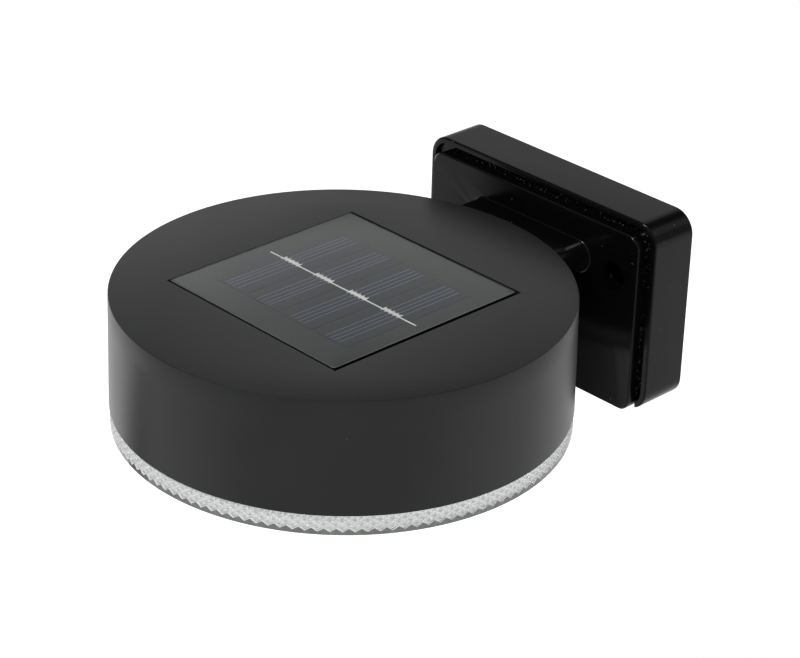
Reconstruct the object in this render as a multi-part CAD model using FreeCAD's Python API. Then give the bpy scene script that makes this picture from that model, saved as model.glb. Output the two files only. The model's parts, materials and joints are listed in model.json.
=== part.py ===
import FreeCAD, Part
import math
import os

V = FreeCAD.Vector

# Row frame: origin at the middle of the bracket's wall face, +Y into the wall, +Z up, +X along
# the bracket. Lamp pieces are drawn in the drum frame (axis on Z, top face at Z = 0) and then
# moved to the drum's place. All sizes are in millimetres.

# ---- drum: a moulded cup, open below and a little wider there -------------------------------
drum_top_d = 115.0
drum_draft = 0.5             # each side, wider at the open end
drum_height = 30.0
drum_wall = 2.2
drum_roof = 2.4
drum_edge_bevel = 0.35
drum_stand_off = 25.0        # drum side to the wall face
drum_top_z = 17.7            # drum top above the bracket's middle

rib_count = 8
rib_thick = 1.4
rib_depth = 3.6              # below the roof
rib_seat_w = 4.6             # rib foot that the tray's rim rests on
tray_boss_d = 7.0
tray_boss_inset = 11.5       # from the drum's side
pilot_depth = 9.0
tray_boss_turns = (22.5, 157.5, 202.5, 337.5)

# ---- solar panel ----------------------------------------------------------------------------
panel_side = 60.0
panel_gap = 0.65             # mean gap to the recess wall
panel_shift = -0.5           # the panel lies off centre in its recess
board_t = 1.2
cell_t = 0.25
resin_t = 1.3                # clear cover above the board
sealant_t = 0.5
sealant_w = 5.0
recess_wall = 1.8
recess_floor = 1.8
cell_count = 4
cell_pitch = 12.1
cell_w = 11.3
cell_length = 41.0
ribbon_w = 0.9
ribbon_t = 0.12
ribbon_length = 52.6
ribbon_y = -0.5
pad_length = 6.6
pad_w = 1.7
pad_t = 0.2
lead_d = 1.2
lead_sides = 8
lead_pitch = 3.2
lead_hole_d = 6.4
lead_hole_y = 12.0

# ---- reflector tray, lens and twist lock ----------------------------------------------------
lens_shown = 5.4             # lens height seen below the drum
lens_inset = 0.15            # lens side behind the drum's rim
lens_floor = 1.5
lens_wall = 2.2
lens_top_gap = 0.15          # lens skirt to the drum's rim
seal_w = 1.1
seal_t = 0.8
collar_inset = 2.9           # collar side to the drum's inner wall
collar_wall = 1.8
ledge_z = 1.2                # ledge above the drum's rim
ledge_t = 1.6
lug_t = 2.0
lock_gap = 0.3               # running gap all round a lug
lug_half_turn = 6.0          # degrees
lug_side_gap = 0.4           # lug tip to the drum wall
ledge_turn = 9.0             # degrees each side of the locked lug
stop_turn = 0.6              # degrees from the locked lug to its stop
lock_turns = (90.0, 210.0, 330.0)

tray_t = 2.0
tray_rim_gap = 0.4           # to the ledges it passes on its way in
tray_lens_gap = 0.4          # to the lens collar below
window_r = 15.0
window_flare = 2.8

# ---- circuit board and what is on it --------------------------------------------------------
pcb_w = 48.0
pcb_length = 45.0
pcb_bay_gap = 3.1            # board edge to the battery bay
pcb_t = 1.2
pcb_corner = 2.0
pcb_lift = 0.8               # standoffs above the tray
pcb_screw_x = 20.5
pcb_screw_y = 12.0
pcb_screw_d = 2.0
led_count = 6
led_ring_r = 10.5
led_length = 3.5
led_w = 2.8
led_t = 0.9
led_well = 0.3               # phosphor below the package's rim
switch_inset = 4.5           # switch middle to the board's back edge
switch_length = 8.6
switch_w = 4.2
knob_length = 2.4
knob_w = 1.5
knob_proud = 2.0
knob_travel = 2.0
knob_gap = 0.1
chip_x = -9.0
chip_y = 2.0
coil_x = 9.0
coil_y = -6.0

# ---- battery --------------------------------------------------------------------------------
battery_d = 14.2
battery_length = 49.5
battery_nub_d = 5.5
battery_nub = 1.0
battery_bevel = 0.5
battery_inset = 26.5         # battery middle to the drum's side
bay_gap = 0.4                # round the battery
bay_wall = 1.4
contact_t = 0.4
contact_room = 3.1           # for the folded spring contact
contact_w = 8.0
contact_tab = 2.6
cover_t = 1.2
cover_lap = 2.4              # cover beyond the bay's walls
cover_gap = 0.2
cover_tab_r = 4.2
cover_screw_d = 2.2
cover_screw_grip = 4.6
tray_screw_grip = 6.0
lead_tab_in = 0.6            # battery leads: inside the tab's end
lead_rib_gap = 1.0           # then under the drum's ribs
lead_land_x = 21.0
lead_land_in = 7.0           # landing inside the board's front edge
panel_lead_spread = 9.0      # panel leads' landing each side of the middle
panel_lead_back = 2.0

# ---- neck between the bracket and the drum --------------------------------------------------
neck_w = 42.0
neck_t = 8.6
neck_drop = 6.1              # neck's middle below the drum top
neck_wall = 2.2
neck_root_bevel = 0.5
gasket_t = 0.8
plug_w = 38.0
plug_t = 5.6
plug_length = 14.0
socket_gap = 0.3
socket_wall = 1.8
lock_screw_d = 3.0
lock_screw_grip = 5.0
lock_screw_in = 3.5          # from the plug's tip

# ---- bracket: wall box and front plate ------------------------------------------------------
box_w = 81.0
box_h = 53.0
box_d = 13.8
box_corner = 6.0
box_rim = 1.6
box_back = 2.5
box_edge_bevel = 0.4
box_rib_x = 12.0
box_rib_h = 3.0
plate_margin = 3.5           # box edge to the raised face, at the top and sides
plate_proud = 2.6
plate_skin = 2.4
plate_wall = 2.2
plate_corner = 3.3
plate_edge_bevel = 0.35
flange_t = 2.0
flange_drop = 1.2            # flange below the box's front rim
flange_gap = 0.15
hole_spacing = 58.0          # the right hole is the upper one, the left hole the lower
hole_rise = 10.0             # above and below the bracket's middle
head_hole_d = 8.0
wall_hole_d = 4.5
head_seat = 3.5              # head seat in front of the wall face
sleeve_wall = 2.2
post_x = 32.0
post_z = 19.5
post_d = 5.6
post_end = 6.0               # post tip in front of the wall face
post_gap = 0.2
plate_screw_d = 2.6
plate_screw_hold = 5.5       # screw inside the post

# ---- screws ---------------------------------------------------------------------------------
screw_gap = 0.05             # thread core to its pilot hole
head_gap = 0.3
head_ratio = 1.85            # head width over shank width
head_flat = 0.62             # head height over shank width

# ---- worked out from the sizes above --------------------------------------------------------
drum_bottom_d = drum_top_d + 2 * drum_draft
lead_section = math.pi * lead_d ** 2 / 4
drum_to_wall = drum_top_d / 2 + drum_stand_off                # drum axis to the wall face
tray_boss_reach = drum_top_d / 2 - tray_boss_inset
lens_d = drum_bottom_d - 2 * lens_inset
collar_d = drum_bottom_d - 2 * drum_wall - 2 * collar_inset
battery_y = battery_inset - drum_top_d / 2
recess_side = panel_side + 2 * panel_gap
recess_depth = sealant_t + board_t + resin_t
board_z = -resin_t - board_t                                  # underside of the panel's board
rim_z = -drum_height
ledge_top = rim_z + ledge_z + ledge_t
lug_z = ledge_top + lock_gap
tray_z = lug_z + lug_t + tray_lens_gap                        # underside of the tray
tray_top = tray_z + tray_t
ledge_r = collar_d / 2 + lock_gap
tray_r = ledge_r - tray_rim_gap
pcb_z = tray_top + pcb_lift
pcb_top = pcb_z + pcb_t
bay_r = battery_d / 2 + bay_gap
bay_length = battery_length + contact_t + contact_room
bay_end = bay_length / 2
battery_z = tray_z + cover_t + bay_r
lead_z = -drum_roof - rib_depth - lead_rib_gap                # battery leads' level run
pcb_front = battery_y + bay_r + bay_wall + pcb_bay_gap
pcb_back = pcb_front + pcb_length
switch_y = pcb_back - switch_inset
neck_z = -neck_drop
plug_tip = drum_top_d / 2 - plug_length                       # from the drum axis
socket_y = plug_tip - socket_gap
lock_y = plug_tip + lock_screw_in
face_y = -box_d - plate_proud
flange_front = -box_d + flange_drop
flange_back = flange_front + flange_t
plate_w = box_w - 2 * plate_margin
plate_top = box_h / 2 - plate_margin


# ---- small builders -------------------------------------------------------------------------
def box(x0, x1, y0, y1, z0, z1):
    return Part.makeBox(x1 - x0, y1 - y0, z1 - z0, V(x0, y0, z0))


def post(radius, z0, z1, x=0.0, y=0.0):
    return Part.makeCylinder(radius, z1 - z0, V(x, y, z0))


def bar(radius, y0, y1, x=0.0, z=0.0):
    return Part.makeCylinder(radius, y1 - y0, V(x, y0, z), V(0, 1, 0))


def rod(radius, x0, x1, y=0.0, z=0.0):
    return Part.makeCylinder(radius, x1 - x0, V(x0, y, z), V(1, 0, 0))


def fuse(first, *others):
    return first.multiFuse(list(others)).removeSplitter()


def turned(radius, degrees):
    angle = math.radians(degrees)
    return radius * math.cos(angle), radius * math.sin(angle)


def spun(outline, degrees=360.0, start=0.0):
    """Solid from an outline of (radius, z) points spun about the Z axis."""
    points = [V(r, 0, z) for r, z in outline]
    face = Part.Face(Part.makePolygon(points + points[:1]))
    solid = face.revolve(V(0, 0, 0), V(0, 0, 1), degrees)
    solid.rotate(V(0, 0, 0), V(0, 0, 1), start)
    return solid


def sector(r0, r1, z0, z1, start, end):
    """Part of a flat ring between two angles."""
    return spun([(r0, z0), (r1, z0), (r1, z1), (r0, z1)], end - start, start)


def rounded(width, height, corner, place):
    """Closed outline of a rounded rectangle; place turns (u, v) into a point."""
    u, v = width / 2, height / 2
    k = corner * (1 - math.sqrt(0.5))
    edges = []
    for su, sv, along_u in ((1, 1, False), (-1, 1, True), (-1, -1, False), (1, -1, True)):
        near_v = place(su * u, sv * (v - corner))
        near_u = place(su * (u - corner), sv * v)
        middle = place(su * (u - k), sv * (v - k))
        first, last = (near_u, near_v) if along_u else (near_v, near_u)
        if edges and edges[-1].Vertexes[-1].Point.distanceToPoint(first) > 1e-6:
            edges.append(Part.makeLine(edges[-1].Vertexes[-1].Point, first))
        edges.append(Part.Arc(first, middle, last).toShape())
    start, end = edges[0].Vertexes[0].Point, edges[-1].Vertexes[-1].Point
    if end.distanceToPoint(start) > 1e-6:
        edges.append(Part.makeLine(end, start))
    return Part.Face(Part.Wire(edges))


def slab_y(width, height, corner, y0, y1, x=0.0, z=0.0):
    """Rounded rectangle in X and Z, drawn out along Y."""
    face = rounded(width, height, corner, lambda u, v: V(x + u, y0, z + v))
    return face.extrude(V(0, y1 - y0, 0))


def slab_z(width, height, corner, z0, z1, x=0.0, y=0.0):
    """Rounded rectangle in X and Y, drawn out along Z."""
    face = rounded(width, height, corner, lambda u, v: V(x + u, y + v, z0))
    return face.extrude(V(0, 0, z1 - z0))


def bevel_edges(shape, size, wanted):
    edges = [edge for edge in shape.Edges if wanted(edge.BoundBox)]
    return shape.makeChamfer(size, edges)


def screw(diameter, grip, head_at, direction):
    """Pan-head screw: head_at is under its head, and the shank runs along direction."""
    core = diameter / 2 - screw_gap
    head_r = diameter * head_ratio / 2
    head_h = diameter * head_flat
    bevel = head_h * 0.4
    shape = spun([(0, grip), (core, grip), (core, 0), (head_r, 0), (head_r, bevel - head_h),
                  (head_r - bevel, -head_h), (0, -head_h)])
    slot = diameter * 0.22
    reach = diameter * 0.55
    for long_x, long_y in ((reach, slot / 2), (slot / 2, reach)):
        shape = shape.cut(box(-long_x, long_x, -long_y, long_y, -head_h, -head_h / 2))
    shape.Placement = FreeCAD.Placement(head_at, FreeCAD.Rotation(V(0, 0, 1), direction))
    return shape


def folded_strip(points, width):
    """Sheet-metal strip: straight runs of one thickness with a round bend at each point."""
    runs = []
    for a, b in zip(points, points[1:]):
        length = a.distanceToPoint(b)
        run = box(0, length, -width / 2, width / 2, -contact_t / 2, contact_t / 2)
        tilt = FreeCAD.Rotation(V(0, 1, 0), -math.degrees(math.atan2(b.z - a.z, b.x - a.x)))
        run.Placement = FreeCAD.Placement(a, tilt)
        runs.append(run)
    for p in points[1:-1]:
        runs.append(bar(contact_t / 2, p.y - width / 2, p.y + width / 2, p.x, p.z))
    return fuse(runs[0], *runs[1:])


def lead_ring(at, direction):
    """Ten-sided section with the round wire's own area."""
    turn = 2 * math.pi / lead_sides
    radius = math.sqrt(2 * lead_section / (lead_sides * math.sin(turn)))
    corners = [V(radius * math.cos(n * turn), radius * math.sin(n * turn), 0) for n in range(lead_sides)]
    ring = Part.makePolygon(corners + corners[:1])
    ring.Placement = FreeCAD.Placement(at, FreeCAD.Rotation(V(0, 0, 1), direction))
    return ring


def lead(name, points):
    """Round wire along straight runs joined by tangent arcs."""
    edges = []
    at = points[0]
    radii = []
    for before, corner, after in zip(points, points[1:], points[2:]):
        into = (corner - before).normalize()
        out = (after - corner).normalize()
        turn = math.acos(max(-1.0, min(1.0, into.dot(out))))
        cut = 0.45 * min(corner.distanceToPoint(before), corner.distanceToPoint(after))
        radius = cut / math.tan(turn / 2)
        radii.append(round(radius, 1))
        first = corner - V(into).multiply(cut)
        last = corner + V(out).multiply(cut)
        inward = (V(out) - into).normalize()
        middle = corner + inward.multiply(radius / math.cos(turn / 2) - radius)
        edges += [Part.makeLine(at, first), Part.Arc(first, middle, last).toShape()]
        at = last
    edges.append(Part.makeLine(at, points[-1]))
    path = Part.Wire(edges)
    ring = lead_ring(points[0], (points[1] - points[0]).normalize())
    wire = path.makePipeShell([ring], True, False)
    ideal = lead_section * path.Length
    print(name, "bend radii", radii, "volume share", round(wire.Volume / ideal, 4))
    return wire


def drum_radius(z):
    """Outer radius of the drum at height z in the drum frame."""
    return drum_top_d / 2 + (drum_bottom_d - drum_top_d) / 2 * -z / drum_height


# ---- the drum -------------------------------------------------------------------------------
def drum_shell():
    top_r = drum_top_d / 2
    low_r = drum_bottom_d / 2
    roof_r = drum_radius(-drum_roof) - drum_wall
    bevel = drum_edge_bevel
    return spun([(0, 0), (top_r - bevel, 0), (top_r - bevel * 0.3, -bevel * 0.3), (drum_radius(-bevel), -bevel),
                 (low_r, rim_z), (low_r - drum_wall, rim_z), (roof_r, -drum_roof), (0, -drum_roof)])


def drum_ribs():
    """Radial ribs under the roof, each with a foot down the wall that the tray rests on."""
    wall_middle = drum_top_d / 2 - drum_wall / 2
    foot = drum_top_d / 2 - drum_wall - rib_seat_w
    ribs = []
    for n in range(rib_count):
        arm = box(recess_side / 2, wall_middle, -rib_thick / 2, rib_thick / 2, -drum_roof - rib_depth, -drum_roof)
        leg = box(foot, wall_middle, -rib_thick / 2, rib_thick / 2, tray_top, -drum_roof)
        rib = arm.fuse(leg)
        rib.rotate(V(0, 0, 0), V(0, 0, 1), (n + 0.5) * 360.0 / rib_count)
        ribs.append(rib)
    return ribs


def neck_socket():
    """Sleeve behind the drum's wall that takes the neck's plug."""
    half_w = plug_w / 2 + socket_gap + socket_wall
    low = neck_z - plug_t / 2 - socket_gap - socket_wall
    block = box(-half_w, half_w, socket_y - socket_wall, drum_top_d / 2, low, -drum_roof)
    return block.common(post(drum_top_d / 2 - drum_wall / 2, low, -drum_roof))


def twist_ledges():
    """Ledges that the lens lugs turn over, each with an end stop."""
    outer = drum_bottom_d / 2 - drum_wall * 0.75
    parts = []
    for turn in lock_turns:
        stop = turn + lug_half_turn + stop_turn
        parts.append(sector(ledge_r, outer, rim_z + ledge_z, ledge_top, turn - ledge_turn, stop + 3.0))
        parts.append(sector(ledge_r, outer, ledge_top, lug_z + lug_t, stop, stop + 3.0))
    return parts


def drum_housing():
    pocket = recess_side + 2 * recess_wall
    well = slab_z(pocket, pocket, recess_wall, -recess_depth - recess_floor, -drum_roof)
    bosses = [post(tray_boss_d / 2, tray_top, -drum_roof, *turned(tray_boss_reach, t)) for t in tray_boss_turns]
    body = fuse(drum_shell(), well, neck_socket(), *bosses, *drum_ribs(), *twist_ledges())
    recess = box(-recess_side / 2, recess_side / 2, -recess_side / 2, recess_side / 2, -recess_depth, 1.0)
    leads = post(lead_hole_d / 2, -recess_depth - recess_floor - rib_depth, 0, panel_shift, lead_hole_y)
    pilots = [post(cover_screw_d / 2, tray_top, tray_top + pilot_depth, *turned(tray_boss_reach, t))
              for t in tray_boss_turns]
    plug_hole = slab_y(plug_w + 2 * socket_gap, plug_t + 2 * socket_gap, plug_t / 2 + socket_gap - 0.01,
                       socket_y, drum_bottom_d / 2 + 1, 0, neck_z)
    screw_hole = post(lock_screw_d / 2 + 0.2, neck_z - plug_t / 2 - 2 * socket_wall, neck_z, 0, lock_y)
    return body.cut(fuse(recess, leads)).cut(fuse(plug_hole, screw_hole)).cut(Part.makeCompound(pilots))


# ---- the solar panel ------------------------------------------------------------------------
def cell_places():
    return [panel_shift + (n - (cell_count - 1) / 2) * cell_pitch for n in range(cell_count)]


def solar_board():
    half = panel_side / 2
    return box(panel_shift - half, panel_shift + half, -half, half, board_z, -resin_t)


def solar_cells():
    strips = [box(x - cell_w / 2, x + cell_w / 2, -cell_length / 2, cell_length / 2, -resin_t, -resin_t + cell_t)
              for x in cell_places()]
    return Part.makeCompound(strips)


def cell_ribbon():
    z = -resin_t + cell_t
    half = ribbon_length / 2
    strip = box(panel_shift - half, panel_shift + half, ribbon_y - ribbon_w / 2, ribbon_y + ribbon_w / 2, z,
                z + ribbon_t)
    pads = [box(x - pad_length / 2, x + pad_length / 2, ribbon_y - ribbon_w / 2, ribbon_y - ribbon_w / 2 + pad_w, z,
                z + pad_t) for x in cell_places()]
    return fuse(strip, *pads)


def panel_resin(cells, ribbon):
    half = panel_side / 2
    block = box(panel_shift - half, panel_shift + half, -half, half, -resin_t, 0)
    return block.cut(cells).cut(ribbon)


def panel_sealant():
    outer = slab_z(panel_side, panel_side, 1.0, board_z - sealant_t, board_z, panel_shift)
    side = panel_side - 2 * sealant_w
    return outer.cut(slab_z(side, side, 3.0, board_z - sealant_t, board_z, panel_shift))


def panel_lead(side):
    """Wire from the panel's board through the recess floor down to the circuit board."""
    x = panel_shift + side * lead_pitch / 2
    low_x = side * panel_lead_spread
    low_y = lead_hole_y + panel_lead_back
    span = board_z - pcb_top
    points = [V(x, lead_hole_y, board_z), V(x, lead_hole_y, board_z - 0.36 * span),
              V(low_x, low_y, board_z - 0.62 * span), V(low_x, low_y, pcb_top)]
    return lead("panel lead", points)


# ---- tray, lens and seal --------------------------------------------------------------------
def battery_bay(radius, half_length, z0):
    """Arched channel along X, open below."""
    arch = rod(radius, -half_length, half_length, battery_y, battery_z)
    walls = box(-half_length, half_length, battery_y - radius, battery_y + radius, z0, battery_z)
    above = box(-half_length, half_length, battery_y - radius, battery_y + radius, z0, battery_z + radius)
    return arch.fuse(walls).common(above)


def cover_outline(z0, z1, grow):
    length = 2 * (bay_end + bay_wall) + 2 * grow
    width = 2 * (bay_r + cover_lap) + 2 * grow
    plate = slab_z(length, width, 2.0, z0, z1, 0, battery_y)
    ear_x = bay_end + bay_wall + cover_tab_r - 1.0
    ear = post(cover_tab_r + grow, z0, z1, ear_x, battery_y)
    bridge = box(0, ear_x, battery_y - cover_tab_r - grow, battery_y + cover_tab_r + grow, z0, z1)
    return fuse(plate, ear, bridge), ear_x


def reflector_tray():
    disc = post(tray_r, tray_z, tray_top)
    bay = battery_bay(bay_r + bay_wall, bay_end + bay_wall, tray_top)
    ear_boss_x = cover_outline(0, 1, 0)[1]
    ear_boss = post(2.9, tray_top, tray_top + 5.0, ear_boss_x, battery_y)
    stands = [post(2.6, tray_top, pcb_z, s * pcb_screw_x, pcb_screw_y) for s in (-1, 1)]
    body = fuse(disc, bay, ear_boss, *stands)
    lamp_window = Part.makeCone(window_r + window_flare, window_r, tray_t, V(0, 0, tray_z))
    cuts = [lamp_window, battery_bay(bay_r, bay_end, tray_z),
            cover_outline(tray_z, tray_z + cover_t, cover_gap)[0],
            post(cover_screw_d / 2, tray_z, tray_top + 4.0, ear_boss_x, battery_y),
            post(lock_screw_d * head_ratio / 2 + 0.5, tray_z, tray_top, 0, lock_y),
            box(-switch_length / 2 - cover_gap, switch_length / 2 + cover_gap, switch_y - switch_w / 2 - cover_gap,
                switch_y + switch_w / 2 + cover_gap, tray_z, tray_top)]
    for turn in tray_boss_turns:
        x, y = turned(tray_boss_reach, turn)
        cuts.append(post(cover_screw_d / 2 + 0.2, tray_z, tray_top, x, y))
        cuts.append(post(cover_screw_d * head_ratio / 2 + head_gap, tray_z, tray_z + 1.0, x, y))
    for side in (-1, 1):
        cuts.append(post(pcb_screw_d / 2, tray_z + 0.6, pcb_z, side * pcb_screw_x, pcb_screw_y))
        slit_x = side * (bay_end + bay_wall / 2)
        cuts.append(box(slit_x - bay_wall, slit_x + bay_wall, battery_y - contact_w / 4 - 0.1,
                        battery_y + contact_w / 4 + 0.1, battery_z - 0.3, battery_z + 0.3))
    for cut in cuts:
        body = body.cut(cut)
    return body


def tray_screws():
    z = tray_z + 1.0
    return Part.makeCompound([screw(cover_screw_d, tray_screw_grip, V(*turned(tray_boss_reach, t), z), V(0, 0, 1))
                              for t in tray_boss_turns])


def lens():
    """Clear cup: patterned skirt, flat floor and an inner collar that carries the lock lugs."""
    skirt_top = rim_z - lens_top_gap
    floor_z = rim_z - lens_shown
    r = lens_d / 2
    collar_r = collar_d / 2
    cup = spun([(0, floor_z), (r, floor_z), (r, skirt_top), (r - lens_wall, skirt_top),
                (r - lens_wall, floor_z + lens_floor), (collar_r, floor_z + lens_floor),
                (collar_r, lug_z + lug_t), (collar_r - collar_wall, lug_z + lug_t),
                (collar_r - collar_wall, floor_z + lens_floor), (0, floor_z + lens_floor)])
    groove_r = r - lens_wall / 2 + seal_w / 2
    groove = spun([(groove_r - seal_w, skirt_top - seal_t), (groove_r, skirt_top - seal_t),
                   (groove_r, skirt_top), (groove_r - seal_w, skirt_top)])
    lug_r = drum_bottom_d / 2 - drum_wall - lug_side_gap
    lugs = [sector(collar_r - collar_wall / 2, lug_r, lug_z, lug_z + lug_t, t - lug_half_turn, t + lug_half_turn)
            for t in lock_turns]
    return fuse(cup.cut(groove), *lugs)


def lens_seal():
    r = lens_d / 2 - lens_wall / 2 + seal_w / 2
    low = rim_z - lens_top_gap - seal_t
    high = rim_z - lens_top_gap / 3
    return spun([(r - seal_w, low), (r, low), (r, high), (r - seal_w, high)])


# ---- electronics ----------------------------------------------------------------------------
def circuit_board():
    board = slab_z(pcb_w, pcb_back - pcb_front, pcb_corner, pcb_z, pcb_top, 0, (pcb_back + pcb_front) / 2)
    holes = [post(pcb_screw_d / 2 + 0.2, pcb_z, pcb_top, s * pcb_screw_x, pcb_screw_y) for s in (-1, 1)]
    return board.cut(Part.makeCompound(holes))


def board_screws():
    return Part.makeCompound([screw(pcb_screw_d, pcb_lift + pcb_t + 0.2, V(s * pcb_screw_x, pcb_screw_y, pcb_top),
                                    V(0, 0, -1)) for s in (-1, 1)])


def led_chips():
    chips = []
    for n in range(led_count):
        chip = box(-led_length / 2, led_length / 2, -led_w / 2, led_w / 2, pcb_z - led_t, pcb_z)
        well = led_w * 0.4
        chip = chip.cut(box(-well, well, -well, well, pcb_z - led_t, pcb_z - led_t + led_well))
        chip.translate(V(0, led_ring_r, 0))
        chip.rotate(V(0, 0, 0), V(0, 0, 1), n * 360.0 / led_count)
        chips.append(chip)
    return Part.makeCompound(chips)


def driver_chip():
    """Small upright package on four legs."""
    body = box(chip_x - 2.0, chip_x + 2.0, chip_y - 0.8, chip_y + 0.8, pcb_top + 1.6, pcb_top + 4.6)
    body = bevel_edges(body, 0.3, lambda b: b.ZMin > pcb_top + 4.5)
    legs = [box(chip_x + (n - 1.5) * 1.0 - 0.2, chip_x + (n - 1.5) * 1.0 + 0.2, chip_y - 0.2, chip_y + 0.2, pcb_top,
                pcb_top + 1.8) for n in range(4)]
    return fuse(body, *legs)


def inductor():
    """Axial coil above the board on its two bent legs."""
    z = pcb_top + 1.6
    body = rod(1.5, coil_x - 3.6, coil_x + 3.6, coil_y, z)
    body = bevel_edges(body, 0.5, lambda b: b.XLength < 1e-3)
    legs = []
    for side in (-1, 1):
        end = coil_x + side * 5.2
        inner = coil_x + side * 3.4
        legs.append(box(min(end, inner) - 0.2, max(end, inner) + 0.2, coil_y - 0.25, coil_y + 0.25, z - 0.2, z + 0.2))
        legs.append(box(end - 0.2, end + 0.2, coil_y - 0.25, coil_y + 0.25, pcb_top, z))
    return fuse(body, *legs)


def knob_slot():
    length = knob_length + knob_travel + 2 * knob_gap
    width = knob_w + 2 * knob_gap
    return box(-length / 2, length / 2, switch_y - width / 2, switch_y + width / 2, tray_z, tray_z + 1.4)


def switch_body():
    block = box(-switch_length / 2, switch_length / 2, switch_y - switch_w / 2, switch_y + switch_w / 2, tray_z, pcb_z)
    return block.cut(knob_slot())


def switch_knob():
    x = -knob_travel / 2 - knob_length / 2
    knob = box(x, x + knob_length, switch_y - knob_w / 2, switch_y + knob_w / 2, tray_z - knob_proud, tray_z + 1.2)
    return bevel_edges(knob, 0.25, lambda b: b.ZMax < tray_z - knob_proud + 1e-3)


# ---- battery --------------------------------------------------------------------------------
def battery():
    nub_end = bay_end - contact_t
    can_end = nub_end - battery_nub
    can = rod(battery_d / 2, nub_end - battery_length, can_end, battery_y, battery_z)
    can = bevel_edges(can, battery_bevel, lambda b: b.XLength < 1e-3)
    return fuse(can, rod(battery_nub_d / 2, can_end - 1.0, nub_end, battery_y, battery_z))


def contact_plate(side):
    """Flat contact against the bay's end wall, with a solder tab through the wall."""
    inner = side * bay_end
    x0, x1 = sorted((inner, inner - side * contact_t))
    t0, t1 = sorted((inner - side * contact_t, side * (bay_end + bay_wall + contact_tab)))
    plate = box(x0, x1, battery_y - contact_w / 2, battery_y + contact_w / 2, battery_z - 5.0, battery_z + 4.5)
    tab = box(t0, t1, battery_y - contact_w / 4, battery_y + contact_w / 4, battery_z - contact_t / 2,
              battery_z + contact_t / 2)
    return fuse(plate, tab)


def battery_positive_contact():
    return contact_plate(1)


def battery_spring_contact():
    """Plate with a folded leaf that presses on the battery's flat end."""
    wall = -bay_end + contact_t / 2
    touch = bay_end - contact_t - battery_length - contact_t / 2
    leaf = [V(wall, battery_y, battery_z - 4.6), V(wall + 0.8, battery_y, battery_z - 4.6),
            V(touch, battery_y, battery_z - 1.5), V(touch, battery_y, battery_z + 1.5),
            V(wall + 1.0, battery_y, battery_z + 3.6)]
    return fuse(contact_plate(-1), folded_strip(leaf, contact_w * 0.7))


def battery_lead(side):
    """Wire up from a contact's tab, under the ribs and down to the circuit board."""
    tab_x = side * (bay_end + bay_wall + contact_tab - lead_tab_in)
    land_x = side * lead_land_x
    land_y = pcb_front + lead_land_in
    points = [V(tab_x, battery_y, battery_z + contact_t / 2), V(tab_x, battery_y, lead_z),
              V(land_x, land_y, lead_z), V(land_x, land_y, pcb_top)]
    return lead("battery lead", points)


def battery_cover():
    plate, ear_x = cover_outline(tray_z, tray_z + cover_t, 0)
    plate = plate.cut(post(cover_screw_d / 2 + 0.2, tray_z, tray_z + cover_t, ear_x, battery_y))
    grips = [box(-bay_end + 3.0 + 2.2 * n, -bay_end + 4.0 + 2.2 * n, battery_y - 5.0, battery_y + 5.0, tray_z,
                 tray_z + 0.4) for n in range(4)]
    return plate.cut(Part.makeCompound(grips))


def battery_cover_screw():
    ear_x = cover_outline(0, 1, 0)[1]
    return screw(cover_screw_d, cover_screw_grip, V(ear_x, battery_y, tray_z), V(0, 0, 1))


# ---- neck and bracket, in the row frame -----------------------------------------------------
def drum_skin(offset):
    """The drum's outer cone grown by an offset, long enough to cut the neck with."""
    over = neck_t * 2
    narrow = drum_top_d / 2 + offset - drum_draft * over / drum_height
    cone = Part.makeCone(drum_bottom_d / 2 + offset, narrow, drum_height + over, V(0, 0, rim_z))
    cone.translate(V(0, -drum_to_wall, drum_top_z))
    return cone


def neck_prism(width, height, y0, y1):
    return slab_y(width, height, height / 2 - 0.01, y0, y1, 0, drum_top_z + neck_z)


def hole_places():
    return [(s * hole_spacing / 2, s * hole_rise) for s in (-1, 1)]


def post_places():
    return [(s * post_x, t * post_z) for t in (-1, 1) for s in (-1, 1)]


def neck_gasket():
    near = -drum_to_wall + drum_radius(0) * 0.9
    sleeve = neck_prism(neck_w - 0.6, neck_t - 0.6, near, face_y)
    sleeve = sleeve.common(drum_skin(gasket_t)).cut(drum_skin(0))
    return sleeve.cut(neck_prism(plug_w + 0.2, plug_t + 0.2, near - 5, face_y))


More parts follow.
